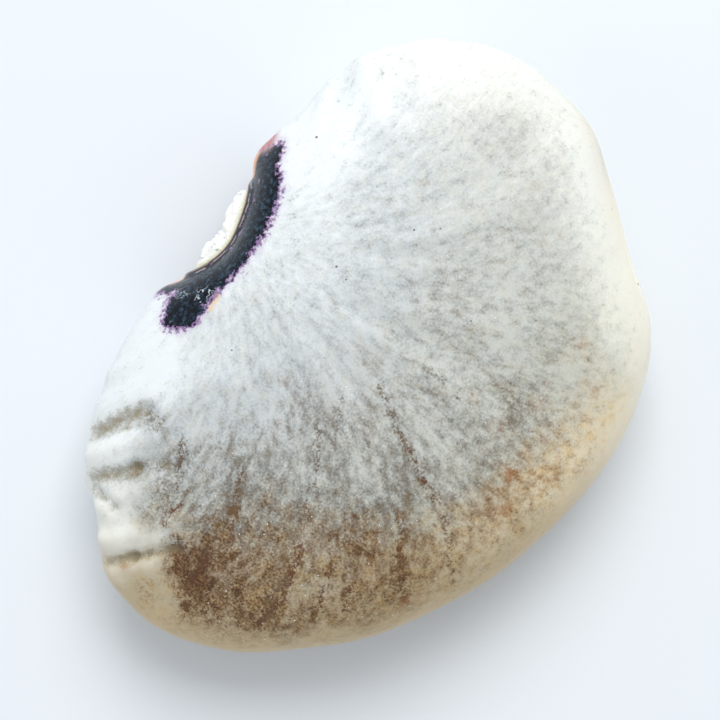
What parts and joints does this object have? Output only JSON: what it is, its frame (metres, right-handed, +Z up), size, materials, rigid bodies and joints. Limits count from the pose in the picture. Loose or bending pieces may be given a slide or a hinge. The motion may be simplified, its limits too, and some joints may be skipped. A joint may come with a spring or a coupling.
{
  "type": "lima bean",
  "caption": "Flat, kidney-shaped dried lima bean lying on its side, with a wrinkled end, a lipped hilum in the dented edge and a white stalk remnant in it.",
  "frame": {"origin": "on the resting surface, below the middle of the seed's bounding box", "axes": "+Z up through the flat side; +X along the seed's length to its wrinkled end; the hilum looks to -Y"},
  "size_m": [0.0222, 0.0154, 0.0064],
  "materials": {
    "seed_coat": "satin seed coat, warm white with grey-brown mottling, cream edge and a glossy blue-black eye round the hilum",
    "stalk_sponge": "matt, spongy, torn dry plant tissue, off-white"
  },
  "bodies": {
    "root": {"bean": "seed_coat", "stalk_remnant": "stalk_sponge"}
  },
  "joints": []
}
